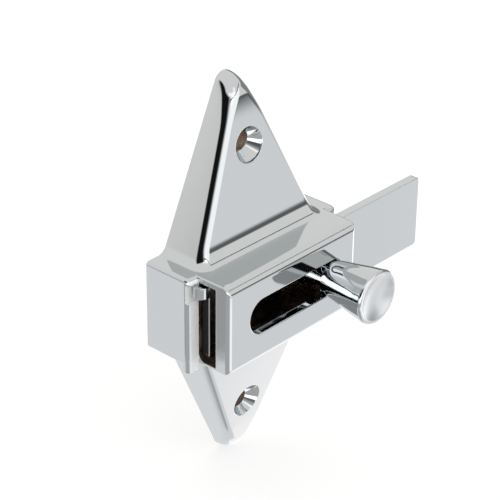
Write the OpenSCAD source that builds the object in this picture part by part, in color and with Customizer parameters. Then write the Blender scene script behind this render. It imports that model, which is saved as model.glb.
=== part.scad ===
// Slide latch for a partition door: a hollow cast case with two screw ears, a flat bar that slides
// through it, and a flared knob that moves the bar along a slot in the front.
// X runs along the bar, Y into the door and Z up. The origin is the middle of the case's back face,
// so a depth below is a distance from the door towards the hand, which is -Y.

/* [Case] */
// Width of the case on the door
case_w = 50.8; // [49:0.1:54]
// Height of the box between the two ears
case_h = 22.8; // [22.6:0.1:25]
// Depth of the wide rear part of the box
base_d = 13.5; // [13:0.1:14.5]
// Width of the front part, which the bar runs through
rail_w = 44.4; // [43:0.1:47]
// Depth of the whole case, from the door to its front face
case_d = 22.6; // [22:0.1:25]
// Wall of the casting
wall = 2; // [1.6:0.1:2.3]
// Radius of the long front edges
edge_r = 2; // [1:0.1:2.4]
// Radius of the upright front edges of the front part
end_r = 1.2; // [0.6:0.1:1.8]
// Radius of the upright front edges of the rear part
base_edge_r = 1; // [0.6:0.1:1.2]
// Drop of the lip below the left step
lip_drop = 2.1; // [1:0.1:2.6]

/* [Ears] */
// Distance from the middle of the case to the tip of each ear
ear_reach = 50.8; // [48:0.1:56]
// Width of an ear where it leaves the box
ear_foot_w = 39.7; // [36:0.1:42]
// Radius of the tip, seen from the front
ear_tip_r = 3.1; // [2.4:0.1:4]
// Depth of the ear's face at the screw hole
ear_face_d = 8.1; // [7.4:0.1:9]
// Lean of the ear's face towards the door
ear_fall = 8.8; // [4:0.1:10]
// Radius with which the face curves down at the tip
crown_r = 6.4; // [4:0.1:6.6]
// Radius along the front edges of an ear
ear_edge_r = 1.5; // [1:0.1:1.8]
// Radius of the hollow corners between the ears and the box
fillet_r = 3; // [1.5:0.1:4]
// Radius of the hollow corner between an ear's face and the top of the box
face_fillet_r = 2.4; // [1:0.1:2.5]

/* [Screw holes] */
// Distance between the two screw holes
hole_spacing = 69.85; // [66:0.05:72]
// Diameter of a screw hole
hole_d = 4.9; // [4.2:0.1:5.4]
// Diameter of the countersink on the face
sink_d = 8.9; // [7.5:0.1:9.4]
// Wall of the boss round a screw hole
boss_wall = 2.8; // [2:0.1:3.2]

/* [Bar] */
// Length of the bar
bar_l = 76.2; // [72:0.1:84]
// Height of the bar
bar_h = 19.05; // [18:0.05:19.4]
// Thickness of the bar
bar_t = 2.4; // [2:0.1:2.8]
// Radius of the bar's corners
bar_corner_r = 1.2; // [0.5:0.1:2.5]
// Length of bar that stands out of the front part when it is thrown
bar_throw = 32.4; // [30:0.1:36]
// Gap between the bar and the ledge behind it
bar_back_gap = 0.3; // [0.2:0.05:0.5]
// Gap in front of the bar in the mouth that it slides through
bar_front_gap = 2.5; // [1.5:0.1:2.6]
// Gap above the bar, and the same below it
bar_side_gap = 0.5; // [0.3:0.05:0.7]
// Height of the stop lug on the inner end of the bar
lug_h = 4.9; // [3.5:0.1:6]
// Inner radius of the lug's bend
lug_bend_r = 0.4; // [0.3:0.1:0.8]
// Length of the lug's leg behind the bar
lug_leg = 2.2; // [1.6:0.1:2.6]
// Gap round the lug in its notch
lug_gap = 0.3; // [0.2:0.05:0.5]

/* [Knob] */
// Diameter of the neck that runs in the slot
neck_d = 8.7; // [7.5:0.1:9.2]
// Gap above the neck in the slot, and the same below it
slot_gap = 0.15; // [0.1:0.05:0.4]
// Distance that the knob and the bar travel
travel = 24; // [18:0.5:25]
// Front wall left between the slot and the right end of the front part
slot_end_wall = 4; // [3:0.1:6]
// Diameter of the knob's rim
rim_d = 13.7; // [12:0.1:15]
// Distance from the case's front face to the knob's rim
knob_reach = 14; // [11:0.1:17]
// Straight length of neck in front of the case
neck_clear = 0.8; // [0.4:0.1:2]
// Radius of the rounded rim
rim_r = 0.6; // [0.4:0.1:0.9]
// Diameter of the dished face
dish_d = 11.9; // [10:0.1:12.2]
// Depth of the dish
dish_depth = 1.4; // [0.8:0.1:2]

/* [Knob screw] */
// Diameter of the screw that holds the knob
screw_d = 4; // [3:0.1:4.5]
// Diameter of its countersunk head
screw_head_d = 7.6; // [6.6:0.1:8]
// Length of the screw with its head
screw_l = 11; // [8:0.5:14]
// Gap round the screw, and between its head and the back of the bar
screw_gap = 0.05; // [0.03:0.01:0.15]

/* [Friction spring] */
// Thickness of the spring strip
spring_t = 0.5; // [0.3:0.05:0.7]
// Width of the spring strip
spring_w = 4.4; // [3.6:0.1:4.6]
// Length of the flat foot at each end of the strip
spring_foot = 2.6; // [2:0.1:4]
// Gap between the strip and what it lies against
spring_gap = 0.1; // [0.08:0.01:0.2]

/* [Hidden] */
$fn = 64;
hull_fn = 32;
eps = 0.01;
seat = 0.03;
half_h = case_h / 2;
hole_z = hole_spacing / 2;

// Ear: its sides are tangent to the round tip.
tip_z = ear_reach - ear_tip_r;
tip_rise = tip_z - half_h;
ear_lean = atan(ear_foot_w / 2 / tip_rise) - asin(ear_tip_r / norm([ear_foot_w / 2, tip_rise]));
crown_z = ear_reach - crown_r;
foot_z = half_h - 3;
function ear_half(z) = ear_foot_w / 2 - (z - half_h) * tan(ear_lean);
function face_d(z) = ear_face_d + (hole_z - z) * tan(ear_fall);

// Bar: its height settles the walls above and below it.
bar_back_d = base_d + bar_back_gap;
bar_front_d = bar_back_d + bar_t;
mouth_d = bar_front_d + bar_front_gap;
bar_right = rail_w / 2 + bar_throw;
bar_left = bar_right - bar_l;
room_h = bar_h + 2 * bar_side_gap;
lug_top = bar_h / 2;
lug_bottom = lug_top - lug_h;
bend_out_r = lug_bend_r + bar_t;
bend_x = bar_left - lug_bend_r;

// Slot and knob: the knob stands at the right end of the slot when the bar is thrown.
slot_h = neck_d + 2 * slot_gap;
slot_right = rail_w / 2 - slot_end_wall;
slot_left = slot_right - slot_h - travel;
knob_x = slot_right - slot_h / 2;
rim_depth = case_d + knob_reach;
neck_end_d = case_d + neck_clear;
dish_r = (pow(dish_d / 2, 2) + pow(dish_depth, 2)) / (2 * dish_depth);

// Spring: a bow between the front wall and the bar, above the slot. Its feet lie on the front wall.
room_w = rail_w - 2 * wall;
front_inner_d = case_d - wall;
spring_z = room_h / 2 - spring_w - 2 * spring_gap;
spring_end = room_w / 2 - spring_gap;
spring_span = spring_end - spring_foot;
spring_sag = front_inner_d - spring_t - bar_front_d - spring_gap;
spring_r = (pow(spring_span, 2) + pow(spring_sag, 2)) / (2 * spring_sag);
spring_steps = 12;
function bow_d(x) = bar_front_d + spring_gap + spring_r
    - sqrt(pow(spring_r, 2) - pow(min(abs(x), spring_span), 2));

// Helpers that turn a flat drawing into a solid

// The drawing shows X and Z. It is pushed from one depth to another.
module forward(from, to) {
    translate([0, -from, 0]) rotate([90, 0, 0]) linear_extrude(to - from) children();
}

// The drawing shows X and depth. It is pushed up and down from the middle.
module upright(h) {
    mirror([0, 1, 0]) linear_extrude(h, center = true) children();
}

// The drawing shows Z and depth. It is pushed left and right from the middle.
module across(w) {
    mirror([0, 1, 0]) rotate([0, -90, 0]) linear_extrude(w, center = true) children();
}

// A shape turned about an axis that points from the door to the hand.
module turned(x, z) {
    translate([x, 0, z]) rotate([90, 0, 0]) rotate_extrude() children();
}

// A rectangle that starts at the door and has its two front corners rounded
module round_front(w, d, r) {
    translate([-w / 2, 0]) square([w, d - r]);
    translate([r - w / 2, 0]) square([w - 2 * r, d]);
    for (side = [-1, 1]) translate([side * (w / 2 - r), d - r]) circle(r);
}

// The hollow corner between two lines that leave the point at an angle of 90 degrees plus lean.
// It is sunk a little into both, so that it crosses their surfaces.
module hollow_corner(r, lean) {
    reach = r / tan(45 + lean / 2);
    translate([-seat, -seat])
        difference() {
            polygon([[0, 0], [reach, 0], [reach, r], [-reach * sin(lean), reach * cos(lean)]]);
            translate([reach, r]) circle(r);
        }
}

// Case

module ear_outline(inset) {
    r = ear_tip_r - inset;
    foot_x = ear_half(foot_z) - inset / cos(ear_lean);
    touch = [r * cos(ear_lean), tip_z + r * sin(ear_lean)];
    polygon([[-foot_x, foot_z], [foot_x, foot_z], touch, [-touch[0], touch[1]]]);
    translate([0, tip_z]) circle(r);
}

// The outside of the upper ear, drawn over balls that run along its front edges
module ear_shell() {
    r = ear_edge_r;
    slack = r / cos(ear_lean);
    intersection() {
        forward(0, case_d) square([case_w, 2 * ear_reach + 2], center = true);
        hull() {
            forward(0, 0.4) ear_outline(0);
            for (side = [-1, 1]) {
                translate([side * (ear_half(foot_z) - slack), r - face_d(foot_z), foot_z])
                    sphere(r, $fn = hull_fn);
                for (angle = [0 : 15 : 90]) {
                    z = crown_z + (crown_r - r) * sin(angle);
                    d = face_d(crown_z) - crown_r + (crown_r - r) * cos(angle);
                    round_x = sqrt(max(0, pow(ear_tip_r - r, 2) - pow(max(0, z - tip_z), 2)));
                    translate([side * min(ear_half(z) - slack, round_x), -d, z])
                        sphere(r, $fn = hull_fn);
                }
            }
        }
    }
}

// Hollow corners at the foot of the upper ear
module ear_fillets() {
    for (side = [0, 1])
        mirror([side, 0, 0])
            translate([ear_foot_w / 2, 0, half_h])
                forward(0, face_d(half_h) - ear_edge_r) hollow_corner(fillet_r, ear_lean);
    across(ear_foot_w - 2 * fillet_r)
        translate([half_h, face_d(half_h)])
            rotate(90) mirror([0, 1]) hollow_corner(face_fillet_r, ear_fall);
}

module ear_pocket() {
    end_z = crown_z + crown_r / 4;
    intersection() {
        forward(-1, case_d) ear_outline(wall);
        across(case_w)
            polygon([
                [foot_z - 1, -1], [foot_z - 1, face_d(foot_z - 1) - wall],
                [end_z, face_d(end_z) - wall], [end_z, -1],
            ]);
    }
}

module box_shell() {
    upright(case_h) round_front(case_w, base_d, base_edge_r);
    intersection() {
        upright(case_h) round_front(rail_w, case_d, end_r);
        across(rail_w) round_front(case_h, case_d, edge_r);
    }
}

// The lip that hangs below the step at the left end
module step_lip() {
    lip_w = (case_w - rail_w) / 2;
    intersection() {
        upright(case_h + 2 * lip_drop) round_front(case_w, base_d, base_edge_r);
        translate([-case_w / 2 - 1, -base_d - 1, -half_h - lip_drop])
            cube([lip_w + 1, wall + 1, lip_drop + 1]);
    }
}

// Everything that is open behind the walls
module hollow() {
    base_room_d = base_d - wall;
    difference() {
        union() {
            translate([wall - case_w / 2, -base_room_d, -room_h / 2])
                cube([case_w - 2 * wall, base_room_d + 1, room_h]);
            translate([-room_w / 2, -front_inner_d, -room_h / 2])
                cube([room_w, front_inner_d + 1, room_h]);
            for (side = [0, 1]) mirror([0, 0, side]) ear_pocket();
        }
        for (side = [-1, 1])
            forward(-2, case_d)
                translate([0, side * hole_z]) circle(d = hole_d + 2 * boss_wall);
    }
}

module screw_hole() {
    sink = (sink_d - hole_d) / 2;
    turned(0, hole_z)
        polygon([
            [0, -1], [hole_d / 2, -1], [hole_d / 2, ear_face_d - sink], [sink_d / 2, ear_face_d],
            [sink_d / 2, case_d], [0, case_d],
        ]);
}

// The bar's way through both ends
module mouths() {
    translate([-case_w / 2 - 1, -mouth_d, -room_h / 2])
        cube([case_w + 2, mouth_d - base_d, room_h]);
}

module slot() {
    forward(front_inner_d - 1, case_d + 1) {
        for (x = [slot_left, slot_right])
            translate([x + (x < 0 ? 1 : -1) * slot_h / 2, 0]) circle(d = slot_h);
        translate([slot_left + slot_h / 2, -slot_h / 2])
            square([slot_right - slot_left - slot_h, slot_h]);
    }
}

// The notch in the left wall that the bar's lug drops into
module lug_notch() {
    right = bend_x - lug_bend_r + lug_gap;
    depth = bar_back_d - lug_bend_r - lug_leg - lug_gap;
    translate([-case_w / 2 - 1, -base_d - 1, lug_bottom - lug_gap])
        cube([right + case_w / 2 + 1, base_d + 1 - depth, lug_h + 2 * lug_gap]);
}

module case() {
    color("silver")
    difference() {
        union() {
            box_shell();
            step_lip();
            for (side = [0, 1])
                mirror([0, 0, side]) {
                    ear_shell();
                    ear_fillets();
                }
        }
        hollow();
        mouths();
        slot();
        lug_notch();
        for (side = [0, 1]) mirror([0, 0, side]) screw_hole();
    }
}

// Bar

module slide_bar() {
    color("lightgray")
    difference() {
        union() {
            forward(bar_back_d, bar_front_d) {
                translate([bar_left, -bar_h / 2 + bar_corner_r])
                    square([bar_l, bar_h - 2 * bar_corner_r]);
                translate([bar_left + bar_corner_r, -bar_h / 2])
                    square([bar_l - 2 * bar_corner_r, bar_h]);
                for (x = [bar_left + bar_corner_r, bar_right - bar_corner_r])
                    for (z = [-1, 1]) translate([x, z * (bar_h / 2 - bar_corner_r)]) circle(bar_corner_r);
            }
            stop_lug();
        }
        turned(knob_x, 0)
            polygon([
                [0, bar_back_d - 1], [screw_head_d / 2 + screw_gap, bar_back_d - 1],
                [screw_head_d / 2 + screw_gap, bar_back_d + 2 * screw_gap],
                [screw_d / 2 + screw_gap, bar_back_d + 2 * screw_gap + (screw_head_d - screw_d) / 2],
                [screw_d / 2 + screw_gap, bar_front_d + 1], [0, bar_front_d + 1],
            ]);
    }
}

// The upper corner of the bar's inner end, bent round towards the door
module stop_lug() {
    leg_x = bend_x - bend_out_r;
    leg_end_d = bar_back_d - lug_bend_r - lug_leg;
    bend_d = bar_back_d - lug_bend_r;
    translate([0, 0, (lug_top + lug_bottom) / 2])
        upright(lug_h) {
            translate([bend_x, bar_back_d]) square([bar_corner_r + 1, bar_t]);
            translate([leg_x, leg_end_d]) square([bar_t, lug_leg + eps]);
            intersection() {
                translate([bend_x, bend_d])
                    difference() {
                        circle(bend_out_r);
                        circle(lug_bend_r);
                    }
                translate([leg_x, bend_d]) square([bend_out_r + eps, bend_out_r]);
            }
        }
}

// Knob

module knob() {
    hole_end_d = bar_back_d + 2 * screw_gap + screw_l + 0.5;
    color("gainsboro")
    turned(knob_x, 0)
        difference() {
            union() {
                polygon([
                    [0, bar_front_d], [neck_d / 2, bar_front_d], [neck_d / 2, neck_end_d],
                    [rim_d / 2, rim_depth - 1.5 * rim_r], [rim_d / 2 - rim_r, rim_depth], [0, rim_depth],
                ]);
                translate([rim_d / 2 - rim_r, rim_depth - rim_r]) circle(rim_r);
            }
            translate([0, rim_depth - dish_depth + dish_r])
                intersection() {
                    circle(dish_r);
                    translate([0, -dish_r]) square([dish_r, dish_r]);
                }
            translate([0, bar_front_d - 1]) square([screw_d / 2 + screw_gap, hole_end_d - bar_front_d + 1]);
        }
}

// Knob screw

module knob_screw() {
    head_d = bar_back_d + 2 * screw_gap;
    color("dimgray")
    turned(knob_x, 0)
        polygon([
            [0, head_d], [screw_head_d / 2, head_d],
            [screw_d / 2, head_d + (screw_head_d - screw_d) / 2], [screw_d / 2, head_d + screw_l],
            [0, head_d + screw_l],
        ]);
}

// Friction spring

module friction_spring() {
    bow = [for (i = [-spring_steps : spring_steps]) spring_span * i / spring_steps];
    xs = concat(-spring_end, bow, spring_end);
    color("slategray")
    translate([0, 0, spring_z + spring_w / 2])
        upright(spring_w)
            polygon(concat(
                [for (x = xs) [x, bow_d(x)]],
                [for (x = xs) [-x, bow_d(x) + spring_t]]
            ));
}

case();
slide_bar();
knob();
knob_screw();
friction_spring();
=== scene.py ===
"""Looks of the partition slide latch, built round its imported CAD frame.

All sizes in the classes are millimetres in the frame's own axes: X along the bar, Y into the door, Z up.
A depth is a distance from the door towards the hand, which is -Y.
"""

import logging
import math
from collections.abc import Callable, Iterable
from dataclasses import dataclass, field
from enum import Enum

import bmesh
import bpy
from mathutils import Matrix, Vector


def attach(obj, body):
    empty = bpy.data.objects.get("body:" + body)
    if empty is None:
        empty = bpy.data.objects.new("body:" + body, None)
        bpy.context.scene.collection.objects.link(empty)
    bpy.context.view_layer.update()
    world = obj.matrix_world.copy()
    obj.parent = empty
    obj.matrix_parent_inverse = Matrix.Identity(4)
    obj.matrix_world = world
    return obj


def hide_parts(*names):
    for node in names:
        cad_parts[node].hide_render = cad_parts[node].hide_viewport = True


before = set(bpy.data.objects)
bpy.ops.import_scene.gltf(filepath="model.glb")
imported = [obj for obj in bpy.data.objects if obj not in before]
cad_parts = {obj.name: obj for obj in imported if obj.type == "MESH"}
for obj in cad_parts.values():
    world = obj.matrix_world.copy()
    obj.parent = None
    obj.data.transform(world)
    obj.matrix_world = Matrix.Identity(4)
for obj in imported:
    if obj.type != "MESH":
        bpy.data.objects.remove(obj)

MM = 0.001

# Places that several pieces share, in millimetres
KNOB_X = 13.7
BAR_FRONT = 16.2

# Limits in millimetres. Points closer than SAME become one. CLOSE, SLIGHT and NEAR say how far an edge or a
# face may be from a place and still count as being there. CLEAR is how far a cutting tool stands out.
SAME = 1e-4
CLOSE = 0.01
SLIGHT = 0.05
NEAR = 0.5
CLEAR = 1.0

Point = tuple[float, float]
Triple = tuple[float, float, float]
Rgba = tuple[float, float, float, float]
EdgeTest = Callable[[Vector, Vector], bool]

log = logging.getLogger("scene")


class Body(Enum):
    """The CAD bodies that pieces ride on."""

    CASE = "case"
    SLIDE = "slide"


class Cut(Enum):
    """What a Boolean step does with its tools."""

    ADD = "UNION"
    TAKE = "DIFFERENCE"


class Skin(Enum):
    """Material places of a piece, in this order. A piece has as many of them as it needs."""

    PLATED = 0
    INNER = 1
    BORE = 2
    # The pale skin of the left step and the notch: satin with a painted highlight.
    SATIN_PAINTED_SHEEN = 3


# Solids


class Solid:
    """A closed mesh in millimetres that is shaped step by step."""

    def __init__(self) -> None:
        """Starts with an empty mesh."""
        self.bm = bmesh.new()

    @classmethod
    def block(cls, low: Vector, high: Vector) -> "Solid":
        """Makes a box between two corners.

        Args:
            low: Lowest corner.
            high: Highest corner.

        Returns:
            The box.
        """
        solid = cls()
        made = bmesh.ops.create_cube(solid.bm, size=1)
        bmesh.ops.scale(solid.bm, vec=high - low, verts=made["verts"])
        bmesh.ops.translate(solid.bm, vec=(low + high) / 2, verts=made["verts"])
        return solid

    @classmethod
    def prism(cls, outline: Iterable[Vector], along: Vector) -> "Solid":
        """Pushes a flat outline along a vector.

        Args:
            outline: Corners in order.
            along: The way and the distance that the outline is pushed.

        Returns:
            The prism.
        """
        solid = cls()
        flat = solid.bm.faces.new([solid.bm.verts.new(p) for p in outline])
        pushed = bmesh.ops.extrude_face_region(solid.bm, geom=[flat], use_keep_orig=True)
        moved = [v for v in pushed["geom"] if isinstance(v, bmesh.types.BMVert)]
        bmesh.ops.translate(solid.bm, vec=along, verts=moved)
        solid.face_out()
        return solid

    @classmethod
    def turned(cls, profile: Iterable[Point], x: float, z: float, steps: int) -> "Solid":
        """Turns a profile about an axis that points from the door to the hand.

        Args:
            profile: Pairs of radius and depth. The first and last lie on the axis or close the shape.
            x: Place of the axis along X.
            z: Place of the axis along Z.
            steps: Number of steps in a full turn.

        Returns:
            The turned solid.
        """
        solid = cls()
        verts = [solid.bm.verts.new((x + r, -d, z)) for r, d in profile]
        edges = [solid.bm.edges.new(pair) for pair in zip(verts, verts[1:])]
        bmesh.ops.spin(
            solid.bm, geom=verts + edges, cent=(x, 0, z), axis=(0, 1, 0), angle=math.tau,
            steps=steps, use_merge=True, use_duplicate=False,
        )
        bmesh.ops.remove_doubles(solid.bm, verts=solid.bm.verts, dist=SAME)
        solid.face_out()
        return solid

    @classmethod
    def lofted(cls, rings: list[list[Vector]]) -> "Solid":
        """Bridges a row of rings that have the same number of points.

        Args:
            rings: Rings in order, each with its points in order.

        Returns:
            The solid between the first and the last ring.
        """
        solid = cls()
        loops = []
        for ring in rings:
            verts = [solid.bm.verts.new(p) for p in ring]
            loops.append([solid.bm.edges.new(pair) for pair in zip(verts, verts[1:] + verts[:1])])
        for low, high in zip(loops, loops[1:]):
            bmesh.ops.bridge_loops(solid.bm, edges=low + high)
        for end in (loops[0], loops[-1]):
            bmesh.ops.contextual_create(solid.bm, geom=end)
        solid.face_out()
        return solid

    def face_out(self) -> None:
        """Turns all faces outward."""
        bmesh.ops.recalc_face_normals(self.bm, faces=self.bm.faces)

    def paint(self, skin: Skin) -> "Solid":
        """Gives every face one skin.

        Args:
            skin: The skin.

        Returns:
            The solid.
        """
        for face in self.bm.faces:
            face.material_index = skin.value
        return self

    def paint_where(self, skin: Skin, chosen: Callable[[Vector], bool]) -> "Solid":
        """Gives a skin to the faces whose middle is chosen.

        Args:
            skin: The skin to give.
            chosen: Says yes or no for a face's middle.

        Returns:
            The solid.
        """
        for face in self.bm.faces:
            if chosen(face.calc_center_median()):
                face.material_index = skin.value
        return self

    def round_edges(self, chosen: EdgeTest, radius: float, steps: int) -> "Solid":
        """Rounds the edges that are chosen.

        Args:
            chosen: Says yes or no for an edge's two ends.
            radius: Radius of the rounding.
            steps: Number of steps across it.

        Returns:
            The solid.
        """
        edges = [e for e in self.bm.edges if chosen(e.verts[0].co, e.verts[1].co)]
        bmesh.ops.bevel(
            self.bm, geom=edges, offset=radius, offset_type="OFFSET", segments=steps, profile=0.5,
            affect="EDGES", clamp_overlap=True, material=-1, miter_outer="SHARP",
        )
        return self

    def round_together(self, rules: list[tuple[EdgeTest, float]], steps: int) -> "Solid":
        """Rounds edges with several radii in one go, so that no rounding narrows another.

        Args:
            rules: Pairs of a test of an edge's two ends, and a radius. The first that fits counts.
            steps: Number of steps across each rounding.

        Returns:
            The solid.
        """
        largest = max(radius for _, radius in rules)
        weights = self.bm.edges.layers.float
        weight = weights.new("bevel_weight_edge")
        for edge in self.bm.edges:
            ends = edge.verts[0].co, edge.verts[1].co
            edge[weight] = next((radius / largest for chosen, radius in rules if chosen(*ends)), 0.0)
        base = self._as_object("base")
        step = base.modifiers.new("step", "BEVEL")
        step.limit_method = "WEIGHT"
        step.width = largest
        step.segments = steps
        step.profile = 0.5
        step.miter_outer = "MITER_SHARP"
        self._take_shape(base)
        weights = self.bm.edges.layers.float
        weights.remove(weights["bevel_weight_edge"])
        return self

    def upside_down(self) -> "Solid":
        """Makes a copy that is mirrored from top to bottom.

        Returns:
            The copy.
        """
        twin = Solid()
        twin.bm = self.bm.copy()
        bmesh.ops.scale(twin.bm, vec=Vector((1, 1, -1)), verts=twin.bm.verts)
        bmesh.ops.reverse_faces(twin.bm, faces=twin.bm.faces)
        return twin

    def combine(self, how: Cut, *tools: "Solid") -> "Solid":
        """Adds or takes away other solids. Faces made by a tool keep the tool's skin.

        Args:
            how: Whether the tools are added or taken away.
            tools: The other solids, which are used up.

        Returns:
            The solid.
        """
        base = self._as_object("base")
        helpers = [tool._as_object("tool") for tool in tools]
        for helper in helpers:
            step = base.modifiers.new("step", "BOOLEAN")
            step.operation = how.value
            step.solver = "EXACT"
            step.material_mode = "INDEX"
            step.object = helper
        self._take_shape(base, *helpers)
        return self

    def _take_shape(self, base: bpy.types.Object, *helpers: bpy.types.Object) -> None:
        """Takes the shape that an object has with its modifiers, and removes what was used.

        Args:
            base: The object.
            helpers: The objects that its modifiers use.
        """
        bpy.context.view_layer.update()
        shape = base.evaluated_get(bpy.context.evaluated_depsgraph_get()).to_mesh()
        self.bm.free()
        self.bm = bmesh.new()
        self.bm.from_mesh(shape)
        for used in [base, *helpers]:
            mesh = used.data
            bpy.data.objects.remove(used)
            bpy.data.meshes.remove(mesh)
        bmesh.ops.remove_doubles(self.bm, verts=self.bm.verts, dist=SAME)

    def _as_object(self, name: str) -> bpy.types.Object:
        """Puts the mesh in the scene, with a place for every skin.

        Args:
            name: Name of the object.

        Returns:
            The object.
        """
        mesh = bpy.data.meshes.new(name)
        self.bm.to_mesh(mesh)
        for _ in Skin:
            mesh.materials.append(None)
        made = bpy.data.objects.new(name, mesh)
        bpy.context.scene.collection.objects.link(made)
        return made

    def piece(self, name: str, materials: list[bpy.types.Material], crease: float) -> bpy.types.Object:
        """Turns the solid into a piece of the scene, in metres.

        Args:
            name: Name of the piece.
            materials: Its materials, in the order of the skins.
            crease: Angle in degrees above which an edge looks sharp.

        Returns:
            The new object.
        """
        bmesh.ops.dissolve_degenerate(self.bm, edges=self.bm.edges, dist=SAME)
        bmesh.ops.scale(self.bm, vec=(MM, MM, MM), verts=self.bm.verts)
        mesh = bpy.data.meshes.new(name)
        self.bm.to_mesh(mesh)
        self.bm.free()
        for material in materials:
            mesh.materials.append(material)
        mesh.shade_smooth()
        mesh.set_sharp_from_angle(angle=math.radians(crease))
        made = bpy.data.objects.new(name, mesh)
        bpy.context.scene.collection.objects.link(made)
        shading = made.modifiers.new("even_shading", "WEIGHTED_NORMAL")
        shading.mode = "FACE_AREA"
        shading.weight = 50
        shading.keep_sharp = True
        return made


def arc(centre: Point, radius: float, start: float, end: float, steps: int) -> list[Point]:
    """Makes the points of an arc.

    Args:
        centre: Its middle.
        radius: Its radius.
        start: First angle in degrees.
        end: Last angle in degrees.
        steps: Number of steps.

    Returns:
        The points, with both ends.
    """
    x, y = centre
    angles = [math.radians(start + (end - start) * i / steps) for i in range(steps + 1)]
    return [(x + radius * math.cos(a), y + radius * math.sin(a)) for a in angles]


def smooth_path(points: list[Point], steps: int) -> list[Point]:
    """Runs a smooth curve through points.

    Args:
        points: The points that the curve meets.
        steps: Number of steps between two points.

    Returns:
        The points of the curve.
    """
    ends = [points[0], *points, points[-1]]

    def between(a: float, b: float, c: float, d: float, t: float) -> float:
        """Runs between the middle two of four values, bent by the outer two.

        Args:
            a: The value before.
            b: Where the way starts.
            c: Where it ends.
            d: The value after.
            t: Share of the way.

        Returns:
            The value there.
        """
        return 0.5 * (
            2 * b + (c - a) * t + (2 * a - 5 * b + 4 * c - d) * t**2 + (3 * b - a - 3 * c + d) * t**3
        )

    path = []
    for row in zip(ends, ends[1:], ends[2:], ends[3:]):
        for i in range(steps):
            path.append(tuple(between(*values, i / steps) for values in zip(*row)))
    return [*path, points[-1]]


# Node helpers


class Graph:
    """Short ways to add nodes to a node tree."""

    def __init__(self, tree: bpy.types.NodeTree) -> None:
        """Takes the tree that gets the nodes."""
        self.tree = tree

    def add(self, kind: str, **settings: object) -> bpy.types.Node:
        """Adds a node and sets its properties.

        Args:
            kind: Type name of the node.
            settings: Property values.

        Returns:
            The node.
        """
        node = self.tree.nodes.new(kind)
        for name, value in settings.items():
            setattr(node, name, value)
        return node

    def feed(self, socket: bpy.types.NodeSocket, value: object) -> None:
        """Links a socket to another one, or sets its value.

        Args:
            socket: The socket that is fed.
            value: A value or a socket.
        """
        if isinstance(value, bpy.types.NodeSocket):
            self.tree.links.new(value, socket)
        else:
            socket.default_value = value

    def math(self, operation: str, *values: object, clamp: bool = False) -> bpy.types.NodeSocket:
        """Adds a Math node.

        Args:
            operation: What it does.
            values: Its inputs in order, numbers or sockets.
            clamp: Whether the result is held between 0 and 1.

        Returns:
            Its output.
        """
        node = self.add("ShaderNodeMath", operation=operation, use_clamp=clamp)
        for socket, value in zip(node.inputs, values):
            self.feed(socket, value)
        return node.outputs[0]

    def step(self, value: object, low: object, high: object) -> bpy.types.NodeSocket:
        """Rises smoothly from 0 to 1 between two values.

        Args:
            value: What is measured.
            low: Where the rise starts.
            high: Where it ends.

        Returns:
            The result.
        """
        node = self.add("ShaderNodeMapRange", interpolation_type="SMOOTHSTEP")
        self.feed(node.inputs["Value"], value)
        self.feed(node.inputs["From Min"], low)
        self.feed(node.inputs["From Max"], high)
        return node.outputs["Result"]

    def mix(self, factor: object, first: object, second: object) -> bpy.types.NodeSocket:
        """Mixes two colours.

        Args:
            factor: How much of the second one.
            first: A colour or a socket.
            second: A colour or a socket.

        Returns:
            The mixed colour.
        """
        node = self.add("ShaderNodeMix", data_type="RGBA")
        # The colour sockets share their names with others of the node, so they go by number.
        for number, value in ((0, factor), (6, first), (7, second)):
            self.feed(node.inputs[number], value)
        return node.outputs[2]

    def noise(self, vector: object, scale: object, detail: float) -> bpy.types.NodeSocket:
        """Adds a noise texture.

        Args:
            vector: Where it is read.
            scale: Its scale.
            detail: Its detail.

        Returns:
            Its value.
        """
        node = self.add("ShaderNodeTexNoise")
        self.feed(node.inputs["Vector"], vector)
        self.feed(node.inputs["Scale"], scale)
        node.inputs["Detail"].default_value = detail
        return node.outputs["Fac"]

    def bump(
        self, height: object, strength: float, distance: float, surface: object = None,
    ) -> bpy.types.NodeSocket:
        """Adds a Bump node.

        Args:
            height: The relief.
            strength: How much of it counts.
            distance: Its height, in metres.
            surface: Normal of the surface under it, where that isn't the piece's own.

        Returns:
            The normal with the relief.
        """
        node = self.add("ShaderNodeBump")
        node.inputs["Strength"].default_value = strength
        node.inputs["Distance"].default_value = distance
        self.feed(node.inputs["Height"], height)
        if surface is not None:
            self.feed(node.inputs["Normal"], surface)
        return node.outputs["Normal"]

    def group(self, tree: bpy.types.NodeTree, **values: object) -> bpy.types.Node:
        """Adds a node group and feeds its inputs.

        Args:
            tree: The group's tree.
            values: Inputs by name, with _ for a space.

        Returns:
            The group node.
        """
        node = self.add("ShaderNodeGroup", node_tree=tree)
        for name, value in values.items():
            self.feed(node.inputs[name.replace("_", " ")], value)
        return node

    def place(self) -> bpy.types.NodeSocket:
        """Adds the piece's Object coordinates."""
        return self.add("ShaderNodeTexCoord").outputs["Object"]

    def dress(self, **values: object) -> None:
        """Feeds the material's main shader.

        Args:
            values: What goes in, by the input's name with _ for a space.
        """
        shader = self.tree.nodes["Principled BSDF"]
        for name, value in values.items():
            self.feed(shader.inputs[name.replace("_", " ")], value)


def grey(value: float) -> Rgba:
    """A colour with the same value in red, green and blue."""
    return (value, value, value, 1.0)


def new_material(name: str) -> tuple[bpy.types.Material, Graph]:
    """Starts a node material.

    Args:
        name: Its name.

    Returns:
        The material and its graph.
    """
    material = bpy.data.materials.new(name)
    material.use_nodes = True
    return material, Graph(material.node_tree)


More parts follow.
